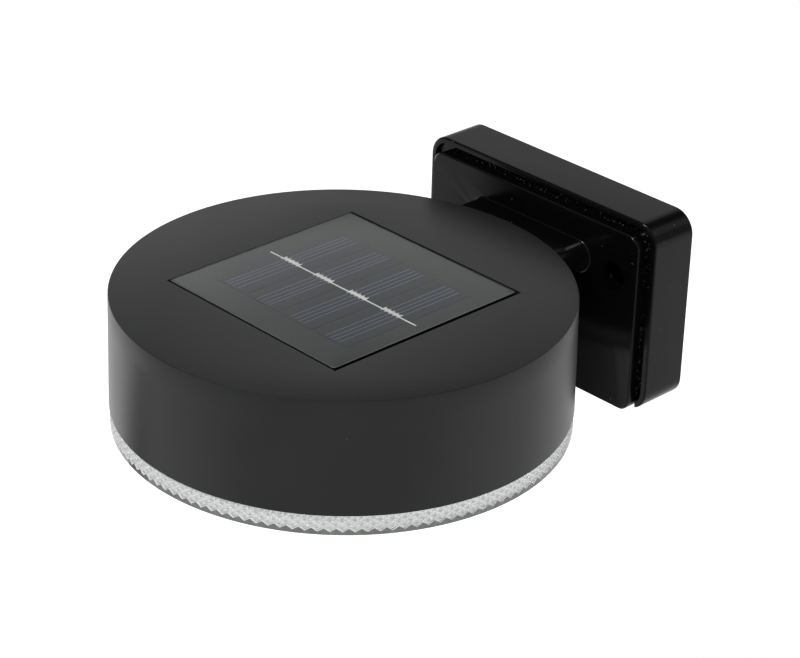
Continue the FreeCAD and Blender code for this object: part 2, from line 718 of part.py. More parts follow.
def bracket_plate():
    """Raised front plate with its hidden flange, the neck and the plug in one moulding."""
    low = -box_h / 2
    height = plate_top - low
    middle = (plate_top + low) / 2
    face = slab_y(plate_w, height, plate_corner, face_y, flange_back, 0, middle)
    face = bevel_edges(face, plate_edge_bevel, lambda b: b.YMax < face_y + 1e-3)
    neck = neck_prism(neck_w, neck_t, -drum_to_wall + drum_top_d / 2 * 0.9, face_y + plate_skin).cut(drum_skin(gasket_t))
    front = face.fuse(neck).removeSplitter()
    front = bevel_edges(front, neck_root_bevel, lambda b: abs(b.YMin - face_y) < 1e-3 and abs(b.YMax - face_y) < 1e-3
                        and b.XMax < neck_w / 2 + 0.1 and b.XMin > -neck_w / 2 - 0.1 and b.ZMin > 0)
    hollow = slab_y(plate_w - 2 * plate_wall, height - 2 * plate_wall, plate_corner - plate_wall + 0.4,
                    face_y + plate_skin, flange_back, 0, middle)
    neck_core = neck_prism(neck_w - 2 * neck_wall, neck_t - 2 * neck_wall,
                           -drum_to_wall + drum_top_d / 2 + gasket_t + neck_wall, face_y + plate_skin)
    flange_w = box_w - 2 * box_rim - 2 * flange_gap
    flange_h = box_h - 2 * box_rim - 2 * flange_gap
    rim = slab_y(flange_w, flange_h, box_corner - box_rim, flange_front, flange_back)
    rim = rim.cut(box(-box_w, box_w, flange_front, flange_back, low - 1, low + box_corner))
    rim = rim.cut(slab_y(plate_w - 2 * plate_wall, height - 2 * plate_wall, plate_corner - plate_wall + 0.4,
                         flange_front, flange_back, 0, middle))
    plug = neck_prism(plug_w, plug_t, -drum_to_wall + plug_tip, face_y + plate_skin).common(
        drum_skin(gasket_t + neck_wall / 2))
    sleeves = [bar(head_hole_d / 2 + sleeve_wall, face_y + plate_skin / 2, flange_back, x, z) for x, z in hole_places()]
    posts = [bar(post_d / 2, face_y + plate_skin / 2, -post_end, x, z) for x, z in post_places()]
    body = fuse(front.cut(hollow).cut(neck_core), rim, plug, *sleeves, *posts)
    cuts = [bar(head_hole_d / 2, face_y - 1, 0, x, z) for x, z in hole_places()]
    cuts += [bar(plate_screw_d / 2, face_y + plate_skin, 0, x, z) for x, z in post_places()]
    pilot_z = drum_top_z + neck_z - plug_t / 2
    cuts.append(post(lock_screw_d / 2, pilot_z, pilot_z + plug_t - 0.5, 0, -drum_to_wall + lock_y))
    return body.cut(Part.makeCompound(cuts))


def bracket_box():
    """Open-fronted wall box with sleeves for the wall screws and seats for the plate's screws."""
    outer = slab_y(box_w, box_h, box_corner, -box_d, 0)
    outer = bevel_edges(outer, box_edge_bevel, lambda b: b.YMax < -box_d + 1e-3)
    inner = slab_y(box_w - 2 * box_rim, box_h - 2 * box_rim, box_corner - box_rim, -box_d, -box_back)
    bosses = [bar(head_hole_d / 2 + sleeve_wall, flange_back + post_gap, -box_back / 2, x, z) for x, z in hole_places()]
    seats = [bar(post_d / 2 + 0.8, -post_end + post_gap, -box_back / 2, x, z) for x, z in post_places()]
    ribs = [back_rib(side * box_rib_x) for side in (-1, 1)]
    body = fuse(outer.cut(inner), *bosses, *seats, *ribs)
    step = plate_w / 2 + flange_gap
    notch = box(-step, step, -box_d - 1, flange_back + post_gap, -box_h / 2 - 1, -box_h / 2 + box_corner)
    cuts = [notch]
    for x, z in hole_places():
        cuts.append(bar(head_hole_d / 2, -box_d, -head_seat, x, z))
        cuts.append(bar(wall_hole_d / 2, -box_d, 1, x, z))
    for x, z in post_places():
        cuts.append(bar(plate_screw_d / 2 + 0.2, -box_d, 1, x, z))
        cuts.append(bar(plate_screw_d * head_ratio / 2 + head_gap, -plate_screw_d * head_flat - head_gap, 1, x, z))
    for cut in cuts:
        body = body.cut(cut)
    return body


def back_rib(x):
    """Stiffening rib up the box's back wall."""
    half = box_h / 2 - box_rim / 2
    return box(x - 0.7, x + 0.7, -box_back - box_rib_h, -box_back / 2, -half, half)


def plate_screws():
    seat = -plate_screw_d * head_flat - head_gap
    grip = post_end + seat + plate_screw_hold
    return Part.makeCompound([screw(plate_screw_d, grip, V(x, seat, z), V(0, -1, 0)) for x, z in post_places()])


def lock_screw():
    low = drum_top_z + neck_z - plug_t / 2 - socket_gap - socket_wall
    return screw(lock_screw_d, socket_wall + socket_gap + lock_screw_grip,
                 V(0, -drum_to_wall + lock_y, low), V(0, 0, 1))


# ---- all the pieces -------------------------------------------------------------------------
def save(name, shape, in_drum_frame=True):
    if in_drum_frame:
        shape.translate(V(0, -drum_to_wall, drum_top_z))
    shape.exportStep("parts/" + name + ".step")


def build():
    os.makedirs("parts", exist_ok=True)
    cells = solar_cells()
    ribbon = cell_ribbon()
    resin = panel_resin(cells, ribbon)
    lamp_pieces = {
        "drum_housing": drum_housing(),
        "solar_board": solar_board(),
        "solar_cells": cells,
        "cell_ribbon": ribbon,
        "panel_resin": resin,
        "panel_sealant": panel_sealant(),
        "panel_lead_positive": panel_lead(1),
        "panel_lead_negative": panel_lead(-1),
        "reflector_tray": reflector_tray(),
        "tray_screws": tray_screws(),
        "circuit_board": circuit_board(),
        "board_screws": board_screws(),
        "led_chips": led_chips(),
        "driver_chip": driver_chip(),
        "inductor": inductor(),
        "switch_body": switch_body(),
        "switch_knob": switch_knob(),
        "battery": battery(),
        "battery_positive_contact": battery_positive_contact(),
        "battery_spring_contact": battery_spring_contact(),
        "battery_lead_positive": battery_lead(1),
        "battery_lead_negative": battery_lead(-1),
        "battery_cover": battery_cover(),
        "battery_cover_screw": battery_cover_screw(),
        "lens": lens(),
        "lens_seal": lens_seal(),
    }
    bracket_pieces = {
        "neck_gasket": neck_gasket(),
        "lock_screw": lock_screw(),
        "bracket_plate": bracket_plate(),
        "bracket_box": bracket_box(),
        "plate_screws": plate_screws(),
    }
    for name, shape in lamp_pieces.items():
        save(name, shape)
    for name, shape in bracket_pieces.items():
        save(name, shape, in_drum_frame=False)


build()
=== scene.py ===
import json
import math

import bpy
import numpy as np
from mathutils import Matrix, Vector


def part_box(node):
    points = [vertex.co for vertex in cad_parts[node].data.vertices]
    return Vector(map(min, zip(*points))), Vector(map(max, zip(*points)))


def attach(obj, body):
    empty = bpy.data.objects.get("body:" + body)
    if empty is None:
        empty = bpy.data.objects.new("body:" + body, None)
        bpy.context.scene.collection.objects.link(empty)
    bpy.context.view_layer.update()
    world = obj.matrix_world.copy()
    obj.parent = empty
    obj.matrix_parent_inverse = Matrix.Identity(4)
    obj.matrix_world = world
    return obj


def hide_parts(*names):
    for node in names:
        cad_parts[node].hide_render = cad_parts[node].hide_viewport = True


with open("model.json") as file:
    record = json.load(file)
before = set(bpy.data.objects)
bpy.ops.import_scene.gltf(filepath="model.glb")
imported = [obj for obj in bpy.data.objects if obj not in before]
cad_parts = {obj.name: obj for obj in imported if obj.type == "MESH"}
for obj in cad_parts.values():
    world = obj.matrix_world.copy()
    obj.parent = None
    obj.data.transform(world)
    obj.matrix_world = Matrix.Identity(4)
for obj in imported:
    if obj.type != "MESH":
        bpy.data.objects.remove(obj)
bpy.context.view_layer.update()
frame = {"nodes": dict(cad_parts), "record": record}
nodes = frame["nodes"]
mm = 0.001

bpy.context.scene.view_settings.view_transform = "Standard"
finishOf = {s["node"]: s["material_slot"] for s in frame["record"]["subparts"]}
bodyOf = {n: b for b, group in frame["record"]["behaviour"]["bodies"].items() for n in group}
drumLow, drumHigh = [np.array(p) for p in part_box("drum_housing")]
lensLow, lensHigh = [np.array(p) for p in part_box("lens")]
axisX, axisY = (drumLow[:2] + drumHigh[:2]) / 2     # the drum's own axis, which the lens turns on
print("frame loaded", len(nodes), "nodes")


camera = {
    "focalPixels": 2567.5,       # solved from the drum's rims and the bracket's corners
    "imageWidth": 800,
    "yaw": -45.922,
    "pitch": 27.566,
    "roll": 1.571,
    "place": (0.4125, -0.4625, 0.2991),
}


def makeCamera(c):
    # forward from yaw and pitch, then right and up turned by the roll
    yaw, pitch, roll = (math.radians(c[k]) for k in ("yaw", "pitch", "roll"))
    forward = Vector((math.sin(yaw) * math.cos(pitch), math.cos(yaw) * math.cos(pitch), -math.sin(pitch)))
    right = forward.cross(Vector((0, 0, 1))).normalized()
    up = right.cross(forward)
    right, up = (right * math.cos(roll) + up * math.sin(roll), up * math.cos(roll) - right * math.sin(roll))
    data = bpy.data.cameras.new("camera")
    data.sensor_width = 36
    data.lens = c["focalPixels"] * data.sensor_width / c["imageWidth"]
    data.clip_start, data.clip_end = 0.01, 50
    obj = bpy.data.objects.new("camera", data)
    turn = Matrix((right, up, -forward)).transposed().to_4x4()
    obj.matrix_world = Matrix.Translation(Vector(c["place"])) @ turn
    bpy.context.collection.objects.link(obj)
    bpy.context.scene.camera = obj


light = {
    "sky": 0.60,                 # plain level that falls on the object
    "glossAbove": 0.20,          # what gloss sees overhead
    "glossBelow": 0.64,          # and below the horizon
    "whiteness": 1.0,            # background that the camera and clear glass see
    "floorZ": -0.16,
    "floorHalf": 6.0,
    "floorColour": (0.90, 0.90, 0.90, 1),
    "floorGlow": 0.45,
    "lampPlace": (-0.185, -0.65, 0.82),
    "lampSize": 0.24,
    "lampPower": 6.0,
    "fillPlace": (0.74, -0.20, -0.05),
    "fillSize": 0.30,
    "fillPower": 2.3,
    # soft patches of the studio that only gloss sees: way to each, level added, and the degrees from its
    # middle within which it is full and beyond which it is gone
    "patches": [
        ((-0.636, 0.617, 0.463), 0.24, 14, 26),
        ((0.463, 0.617, 0.636), 0.25, 8, 20),
        ((0.636, -0.617, -0.463), -0.27, 35, 65),
        ((-0.870, 0.200, -0.450), 0.66, 22, 48),
        ((-0.261, 0.880, -0.400), 0.35, 15, 40),
        ((0.636, -0.617, 0.463), 0.20, 25, 50),
        ((-0.637, -0.617, 0.463), -0.20, 18, 38),
        ((0.000, 0.480, 0.880), -0.16, 15, 32),
    ],
}


def areaLamp(name, place, target, size, power):
    data = bpy.data.lights.new(name, "AREA")
    data.shape, data.size, data.energy = "DISK", size, power
    obj = bpy.data.objects.new(name, data)
    place, target = Vector(place), Vector(target)
    turn = (place - target).to_track_quat("Z", "Y").to_matrix().to_4x4()
    obj.matrix_world = Matrix.Translation(place) @ turn
    bpy.context.collection.objects.link(obj)
    return obj


def combine(t, a, b, kind="ADD"):
    n = t.nodes.new("ShaderNodeMath")
    n.operation = kind
    for slot, value in zip(n.inputs, (a, b)):
        if isinstance(value, (int, float)):
            slot.default_value = value
        else:
            t.links.new(value, slot)
    return n.outputs[0]


def step(t, value, start, end, low, high):
    # low up to start, high from end, and a smooth step between them
    n = t.nodes.new("ShaderNodeMapRange")
    n.interpolation_type = "SMOOTHSTEP"
    t.links.new(value, n.inputs["Value"])
    for label, number in (("From Min", start), ("From Max", end), ("To Min", low), ("To Max", high)):
        n.inputs[label].default_value = number
    return n.outputs["Result"]


def background(t, strength):
    n = t.nodes.new("ShaderNodeBackground")
    n.inputs["Color"].default_value = (1, 1, 1, 1)
    if isinstance(strength, (int, float)):
        n.inputs["Strength"].default_value = strength
    else:
        t.links.new(strength, n.inputs["Strength"])
    return n.outputs[0]


def mixShader(t, factor, first, second):
    n = t.nodes.new("ShaderNodeMixShader")
    for slot, value in zip(n.inputs, (factor, first, second)):
        t.links.new(value, slot)
    return n.outputs[0]


def makeWorld(c):
    # a plain sky; the camera and clear glass see it white, gloss sees a studio of soft light and dark
    world = bpy.data.worlds.new("studio")
    bpy.context.scene.world = world
    world.use_nodes = True
    t = world.node_tree
    t.nodes.clear()
    out = t.nodes.new("ShaderNodeOutputWorld")
    path = t.nodes.new("ShaderNodeLightPath")
    way = t.nodes.new("ShaderNodeTexCoord").outputs["Generated"]
    height = t.nodes.new("ShaderNodeSeparateXYZ")
    t.links.new(way, height.inputs[0])
    level = step(t, height.outputs["Z"], -0.2, 0.1, c["glossBelow"], c["glossAbove"])
    for centre, amount, inner, outer in c["patches"]:
        dot = t.nodes.new("ShaderNodeVectorMath")
        dot.operation = "DOT_PRODUCT"
        t.links.new(way, dot.inputs[0])
        dot.inputs[1].default_value = Vector(centre).normalized()
        edge, full = (math.cos(math.radians(a)) for a in (outer, inner))
        level = combine(t, level, step(t, dot.outputs["Value"], edge, full, 0, amount))
    plain = mixShader(t, path.outputs["Is Glossy Ray"], background(t, c["sky"]), background(t, level))
    white = combine(t, path.outputs["Is Camera Ray"], path.outputs["Is Transmission Ray"], "MAXIMUM")
    t.links.new(mixShader(t, white, plain, background(t, c["whiteness"])), out.inputs["Surface"])


def linkCard(name, corners, finish):
    # one flat face with an empty material of its own
    mesh = bpy.data.meshes.new(name)
    mesh.from_pydata([tuple(p) for p in corners], [], [(0, 1, 2, 3)])
    obj = bpy.data.objects.new(name, mesh)
    bpy.context.collection.objects.link(obj)
    surface = bpy.data.materials.new(finish)
    surface.use_nodes = True
    surface.node_tree.nodes.clear()
    mesh.materials.append(surface)
    return obj, surface.node_tree


def makeFloor(c):
    # a flat sheet far under the lamp; some of its white is its own, so it keeps a faint shadow, and it is
    # clear from below
    half = c["floorHalf"]
    corners = [(x, y, c["floorZ"]) for x, y in ((-half, -half), (half, -half), (half, half), (-half, half))]
    obj, t = linkCard("floor", corners, "floorWhite")
    out = t.nodes.new("ShaderNodeOutputMaterial")
    matt = t.nodes.new("ShaderNodeBsdfDiffuse")
    matt.inputs["Color"].default_value = c["floorColour"]
    glow = t.nodes.new("ShaderNodeEmission")
    path = t.nodes.new("ShaderNodeLightPath")
    seen = combine(t, path.outputs["Is Camera Ray"], path.outputs["Is Transmission Ray"], "MAXIMUM")
    t.links.new(combine(t, seen, c["floorGlow"], "MULTIPLY"), glow.inputs["Strength"])
    add = t.nodes.new("ShaderNodeAddShader")
    t.links.new(matt.outputs[0], add.inputs[0])
    t.links.new(glow.outputs[0], add.inputs[1])
    clear = t.nodes.new("ShaderNodeBsdfTransparent")
    under = t.nodes.new("ShaderNodeNewGeometry").outputs["Backfacing"]
    t.links.new(mixShader(t, under, add.outputs[0], clear.outputs[0]), out.inputs["Surface"])
    obj.visible_glossy = False


flag = {
    "way": (-0.637, -0.617, -0.463),     # the way that the bracket's plate mirrors to the camera
    "plateMiddle": (0, -0.016, 0),
    "reach": 0.24,
    "left": -0.008,
    "right": 0.046,
    "low": -0.070,
    "high": 0.050,
}


def makeFlag(c):
    # a small black card, seen in gloss alone, that keeps the bracket's plate dark
    way = np.array(c["way"]) / np.linalg.norm(c["way"])
    across = np.cross((0, 0, 1), way)
    across = across / np.linalg.norm(across)
    up = np.cross(across, way)
    up = up * np.sign(up[2])
    centre = np.array(c["plateMiddle"]) + way * c["reach"]
    corners = [centre + across * a + up * b for a, b in (
        (c["left"], c["low"]), (c["right"], c["low"]), (c["right"], c["high"]), (c["left"], c["high"]))]
    obj, t = linkCard("flag", corners, "flagBlack")
    glow = t.nodes.new("ShaderNodeEmission")
    glow.inputs["Strength"].default_value = 0
    out = t.nodes.new("ShaderNodeOutputMaterial")
    t.links.new(glow.outputs[0], out.inputs["Surface"])
    obj.visible_camera = obj.visible_diffuse = obj.visible_transmission = False
    obj.visible_shadow = obj.visible_volume_scatter = False


makeCamera(camera)
makeWorld(light)
makeFloor(light)
makeFlag(flag)
areaLamp("keyLamp", light["lampPlace"], (0, axisY, 0), light["lampSize"], light["lampPower"])
# fills the lens's right side, without a mark in the gloss
fill = areaLamp("fillLamp", light["fillPlace"], (0, axisY, 0), light["fillSize"], light["fillPower"])
fill.visible_glossy = False
print("camera, sky and floor ready")


def newGroup(name, inputs, outputs):
    g = bpy.data.node_groups.new(name, "ShaderNodeTree")
    for label, kind, value in inputs:
        s = g.interface.new_socket(label, in_out="INPUT", socket_type=kind)
        if value is not None:
            s.default_value = value
    for label, kind in outputs:
        g.interface.new_socket(label, in_out="OUTPUT", socket_type=kind)
    return g, g.nodes.new("NodeGroupInput"), g.nodes.new("NodeGroupOutput")


def noise(t, vector, scale, detail=3.0, roughness=0.5):
    n = t.nodes.new("ShaderNodeTexNoise")
    n.inputs["Scale"].default_value = scale
    n.inputs["Detail"].default_value = detail
    n.inputs["Roughness"].default_value = roughness
    t.links.new(vector, n.inputs["Vector"])
    return n.outputs["Fac"]


def spread(t, value, low, high):
    # maps 0..1 onto low..high
    n = t.nodes.new("ShaderNodeMapRange")
    t.links.new(value, n.inputs["Value"])
    for label, number in (("To Min", low), ("To Max", high)):
        if isinstance(number, (int, float)):
            n.inputs[label].default_value = number
        else:
            t.links.new(number, n.inputs[label])
    return n.outputs["Result"]


def rgba(colour, factor=1):
    return (*[min(1.0, c * factor) for c in colour], 1)


def mixColour(t, factor, first, second):
    # first where the factor is 0, second where it is 1
    n = t.nodes.new("ShaderNodeMix")
    n.data_type = "RGBA"
    for label, value in (("Factor", factor), ("A", first), ("B", second)):
        if isinstance(value, tuple):
            n.inputs[label].default_value = value
        else:
            t.links.new(value, n.inputs[label])
    return n.outputs["Result"]


def markOf(t, name):
    n = t.nodes.new("ShaderNodeAttribute")
    n.attribute_name = name
    return n.outputs["Fac"]


def mouldedGrain():
    # fine moulded texture: small noise for the bump and broad noise for patches of sheen
    number = "NodeSocketFloat"
    g, i, o = newGroup("mouldedGrain",
                       [("Vector", "NodeSocketVector", None), ("Grain Size", number, 2500.0),
                        ("Patch Size", number, 40.0)],
                       [("Height", number), ("Patch", number), ("Speck", number)])
    grain = g.nodes.new("ShaderNodeTexNoise")
    grain.inputs["Detail"].default_value = 2
    g.links.new(i.outputs["Vector"], grain.inputs["Vector"])
    g.links.new(i.outputs["Grain Size"], grain.inputs["Scale"])
    patch = g.nodes.new("ShaderNodeTexNoise")
    patch.inputs["Detail"].default_value = 4
    g.links.new(i.outputs["Vector"], patch.inputs["Vector"])
    g.links.new(i.outputs["Patch Size"], patch.inputs["Scale"])
    dots = g.nodes.new("ShaderNodeTexVoronoi")
    dots.inputs["Scale"].default_value = 210
    g.links.new(i.outputs["Vector"], dots.inputs["Vector"])
    near = g.nodes.new("ShaderNodeMath")
    near.operation = "LESS_THAN"
    near.inputs[1].default_value = 0.035
    g.links.new(dots.outputs["Distance"], near.inputs[0])
    g.links.new(grain.outputs["Fac"], o.inputs["Height"])
    g.links.new(patch.outputs["Fac"], o.inputs["Patch"])
    g.links.new(near.outputs[0], o.inputs["Speck"])
    return g


grainGroup = mouldedGrain()


def material(name, colour, roughness, **settings):
    # a Principled surface on Object coordinates; sheen, coat and the like are set on its sockets
    m = bpy.data.materials.new(name)
    m.use_nodes = True
    t = m.node_tree
    p = t.nodes["Principled BSDF"]
    p.inputs["Base Color"].default_value = (*colour, 1)
    p.inputs["Roughness"].default_value = roughness
    for label, value in settings.items():
        p.inputs[label.replace("_", " ")].default_value = value
    where = t.nodes.new("ShaderNodeTexCoord").outputs["Object"]
    return m, t, p, where

dustColour = (0.25, 0.25, 0.24, 1)


def grooveDust(t, where, middle, halfWidth, reachX, reachZ):
    # grit where Y is within halfWidth of the middle, and X and Z are inside their reach
    fade = 0.1 * mm
    place = t.nodes.new("ShaderNodeSeparateXYZ")
    t.links.new(where, place.inputs[0])
    away = combine(t, place.outputs["Y"], middle, "SUBTRACT")
    near = step(t, combine(t, away, away, "MULTIPLY"), 0.8 * halfWidth ** 2, halfWidth ** 2, 1, 0)
    side = step(t, combine(t, place.outputs["X"], 0, "ABSOLUTE"), reachX - fade, reachX, 1, 0)
    crown = step(t, place.outputs["Z"], reachZ - fade, reachZ, 1, 0)
    near = combine(t, near, combine(t, side, crown, "MULTIPLY"), "MULTIPLY")
    grit = step(t, noise(t, where, 1500, 4), 0.60, 0.70, 0, 0.35)
    return combine(t, near, grit, "MULTIPLY")
def mouldedPlastic(name, colour, roughness, grainSize, grainDepth, patchSize=40.0, patchTone=0.25,
                   roughSpread=0.06, specks=0.0, groove=None, **settings):
    # black or white moulding: grain bump, patches of tone and sheen, a few dust specks; groove is the
    # middle and half width of a band along Y where dust has gathered, and its reach in X and Z
    m, t, p, where = material(name, colour, roughness, **settings)
    g = t.nodes.new("ShaderNodeGroup")
    g.node_tree = grainGroup
    g.inputs["Grain Size"].default_value = grainSize
    g.inputs["Patch Size"].default_value = patchSize
    t.links.new(where, g.inputs["Vector"])
    bump = t.nodes.new("ShaderNodeBump")
    bump.inputs["Strength"].default_value = 1.0
    bump.inputs["Distance"].default_value = grainDepth
    t.links.new(g.outputs["Height"], bump.inputs["Height"])
    t.links.new(bump.outputs["Normal"], p.inputs["Normal"])
    rough = spread(t, g.outputs["Patch"], roughness - roughSpread, roughness + roughSpread)
    t.links.new(rough, p.inputs["Roughness"])
    tone = mixColour(t, g.outputs["Patch"], rgba(colour, 1 - patchTone), rgba(colour, 1 + patchTone))
    dusty = combine(t, g.outputs["Speck"], specks, "MULTIPLY")
    if groove:
        dusty = combine(t, dusty, grooveDust(t, where, *groove), "MAXIMUM")
    t.links.new(mixColour(t, dusty, tone, dustColour), p.inputs["Base Color"])
    return m


def metal(name, colour, roughness, scratch=900.0):
    # plated metal with fine drawn marks along X
    m, t, p, where = material(name, colour, roughness, Metallic=1.0)
    stretch = t.nodes.new("ShaderNodeMapping")
    stretch.inputs["Scale"].default_value = (0.08, 1, 1)
    t.links.new(where, stretch.inputs["Vector"])
    marks = noise(t, stretch.outputs[0], scratch, 4)
    t.links.new(spread(t, marks, roughness * 0.7, roughness * 1.4), p.inputs["Roughness"])
    tone = mixColour(t, marks, rgba(colour, 0.85), rgba(colour, 1.1))
    t.links.new(tone, p.inputs["Base Color"])
    return m


boxGroove = (-12.9 * mm, 0.7 * mm, 38.9 * mm, 24.9 * mm)     # Y middle and half width, reach in X and in Z
finishes = {
    "housing_black": mouldedPlastic("satinBlack", (0.0125, 0.0128, 0.0130), 0.36, 2600.0, 0.000012,
                                    specks=0.25),
    "bracket_black": mouldedPlastic("glossBlack", (0.0015, 0.0015, 0.0015), 0.19, 700.0, 0.000002,
                                    patchTone=0.2, roughSpread=0.03, specks=0.3, groove=boxGroove,
                                    Specular_IOR_Level=0.32),
    "tray_white": mouldedPlastic("trayWhite", (0.78, 0.78, 0.76), 0.35, 1800.0, 0.000008, patchTone=0.03),
    "pcb_green": mouldedPlastic("boardGreen", (0.02, 0.14, 0.06), 0.3, 900.0, 0.000006),
    "panel_board": mouldedPlastic("panelBoard", (0.066, 0.073, 0.070), 0.5, 900.0, 0.000001,
                                  Specular_IOR_Level=0.1),
    "sealant": mouldedPlastic("sealant", (0.7, 0.7, 0.66), 0.5, 500.0, 0.00003),
    "lead_red": mouldedPlastic("leadRed", (0.5, 0.02, 0.02), 0.35, 1500.0, 0.00001),
    "lead_black": mouldedPlastic("leadBlack", (0.02, 0.02, 0.02), 0.35, 1500.0, 0.00001),
    "led_body": mouldedPlastic("ledBody", (0.85, 0.78, 0.42), 0.3, 900.0, 0.000004),
    "chip_black": mouldedPlastic("chipBlack", (0.02, 0.02, 0.02), 0.5, 2500.0, 0.00001),
    "coil_green": mouldedPlastic("coilGreen", (0.08, 0.25, 0.13), 0.25, 900.0, 0.00001),
    "knob_black": mouldedPlastic("knobBlack", (0.02, 0.02, 0.02), 0.4, 1500.0, 0.00001),
    "seal_black": mouldedPlastic("sealBlack", (0.02, 0.02, 0.02), 0.6, 1500.0, 0.00002),
    "screw_steel": metal("screwSteel", (0.62, 0.62, 0.60), 0.3),
    "switch_steel": metal("switchSteel", (0.66, 0.66, 0.63), 0.3),
    "contact_nickel": metal("contactNickel", (0.72, 0.70, 0.66), 0.25),
    "battery_can": metal("batteryCan", (0.35, 0.37, 0.40), 0.35),
    "cell_silver": mouldedPlastic("tinnedRibbon", (0.90, 0.90, 0.87), 0.35, 900.0, 0.000004, patchTone=0.08),
    "cell_silicon": mouldedPlastic("cellSilicon", (0.060, 0.065, 0.070), 0.5, 600.0, 0.0000005,
                                   patchTone=0.06, Specular_IOR_Level=0.1),
}


def softWobble(t, p, where):
    # a faint unevenness of a clear surface
    wobble = t.nodes.new("ShaderNodeBump")
    wobble.inputs["Distance"].default_value = 0.000006
    t.links.new(noise(t, where, 300), wobble.inputs["Height"])
    t.links.new(wobble.outputs["Normal"], p.inputs["Normal"])


lensFinish = {
    "clear": (0.99, 1.0, 1.0),
    "foot": (0.12, 0.125, 0.12),     # painted shade for the plain band at the foot, and the floor
    "streakTone": 2.2,               # how much lighter the foot's streaks are
    "streakScale": 700,
    "apexShadeFactor": 0.44,                # of the clear colour: painted shade on each diamond's raised middle
    # painted highlight on the ledge above the foot
    "ledge": (0.97, 0.97, 0.97),
    "transmission": 0.30,
    "roughness": 0.10,
    "ior": 1.49,
}


def prismPlastic(name, c):
    # part-clear moulding; painted shade greys its plain foot and floor, which the attribute "foot" marks,
    # streaked lighter up and down; a painted highlight whitens the ledge above, which "ridge" marks; painted
    # shade greys each diamond's raised middle
    m, t, p, where = material(name, c["clear"], c["roughness"], IOR=c["ior"])
    p.inputs["Transmission Weight"].default_value = c["transmission"]
    squeeze = t.nodes.new("ShaderNodeMapping")
    squeeze.inputs["Scale"].default_value = (1, 1, 0.05)
    t.links.new(where, squeeze.inputs["Vector"])
    streak = noise(t, squeeze.outputs[0], c["streakScale"], 3)
    foot = mixColour(t, streak, rgba(c["foot"]), rgba(c["foot"], c["streakTone"]))
    # painted shade on the diamonds' raised middles and on the foot, painted highlight on the ledge
    apexShaded = mixColour(t, markOf(t, "apexShadeMark"), rgba(c["clear"]), rgba(c["clear"], c["apexShadeFactor"]))
    both = mixColour(t, markOf(t, "foot"), apexShaded, foot)
    t.links.new(mixColour(t, markOf(t, "ridge"), both, rgba(c["ledge"])), p.inputs["Base Color"])
    softWobble(t, p, where)
    return m


resinFinish = {
    "clear": (0.93, 0.95, 0.95),
    # painted shade on the cut sides, for the dark gap at the panel's edge
    "rim": (0.004, 0.004, 0.004),
    "roughness": 0.02,
    "ior": 1.5,
}


def castResin(name, c):
    # clear resin whose cut sides, marked by their own attribute, are opaque and painted near black: painted
    # shade for the dark gap at the panel's edge
    m, t, p, where = material(name, c["clear"], c["roughness"], IOR=c["ior"])
    rim = markOf(t, "rim")
    t.links.new(combine(t, 1, rim, "SUBTRACT"), p.inputs["Transmission Weight"])
    t.links.new(mixColour(t, rim, rgba(c["clear"]), rgba(c["rim"])), p.inputs["Base Color"])
    softWobble(t, p, where)
    return m


lensClear = prismPlastic("lensClear", lensFinish)
resinClear = castResin("resinClear", resinFinish)
lineViolet = mouldedPlastic("lineViolet", (0.135, 0.14, 0.23), 0.4, 900.0, 0.000002, patchTone=0.3)
finishes["lens_clear"] = lensClear
finishes["panel_resin"] = resinClear

for node, obj in nodes.items():
    for slot in obj.material_slots:
        slot.material = finishes[finishOf[node]]
print("finishes set on the frame's nodes")


def linkMesh(name, points, faces, finish, body, smooth=None):
    mesh = bpy.data.meshes.new(name)
    mesh.from_pydata(np.asarray(points).tolist(), [], [list(map(int, f)) for f in faces])
    mesh.validate()
    obj = bpy.data.objects.new(name, mesh)
    bpy.context.collection.objects.link(obj)
    mesh.materials.append(finish)
    if smooth is not None:
        mesh.shade_smooth()
        mesh.set_sharp_from_angle(angle=math.radians(smooth))
    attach(obj, body)
    return obj


def addMark(obj, name, values):
    # a value at each point, which the material reads by its name
    obj.data.attributes.new(name, "FLOAT", "POINT").data.foreach_set("value", values.ravel())


smoothing = {
    "angle": 50,                 # edges up to this many degrees shade as roundings
    "drumAngle": 28,             # but the drum keeps its bevel flat
    "weld": 1e-7,                # points within this are one
    # these stay flat, or have a piece of their own below
    "leftOut": ("lens", "panel_resin", "solar_board", "solar_cells", "panel_sealant", "cell_ribbon"),
}


def smoothCopy(node, angle, weld, softBevels):
    # the node's own surface with its doubles merged, so that its curves shade smoothly
    mesh = nodes[node].data
    points = np.empty(len(mesh.vertices) * 3)
    mesh.vertices.foreach_get("co", points)
    points = points.reshape(-1, 3)
    keys, first, back = np.unique(np.round(points / weld).astype(np.int64), axis=0, return_index=True,
                                  return_inverse=True)
    corners = np.empty(len(mesh.loops), dtype=np.int64)
    mesh.loops.foreach_get("vertex_index", corners)
    faces = back.ravel()[corners].reshape(-1, 3)
    good = (faces[:, 0] != faces[:, 1]) & (faces[:, 1] != faces[:, 2]) & (faces[:, 2] != faces[:, 0])
    slotName = finishOf[node]
    obj = linkMesh(node + ".smooth", points[first], faces[good], finishes[slotName], bodyOf[node],
                   angle)
    if softBevels:
        obj.modifiers.new("softEdges", "WEIGHTED_NORMAL").keep_sharp = True
    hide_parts(node)


for node in nodes:
    if node not in smoothing["leftOut"]:
        isDrum = node == "drum_housing"
        smoothCopy(node, smoothing["drumAngle" if isDrum else "angle"], smoothing["weld"], not isDrum)
print("curved nodes smoothed")


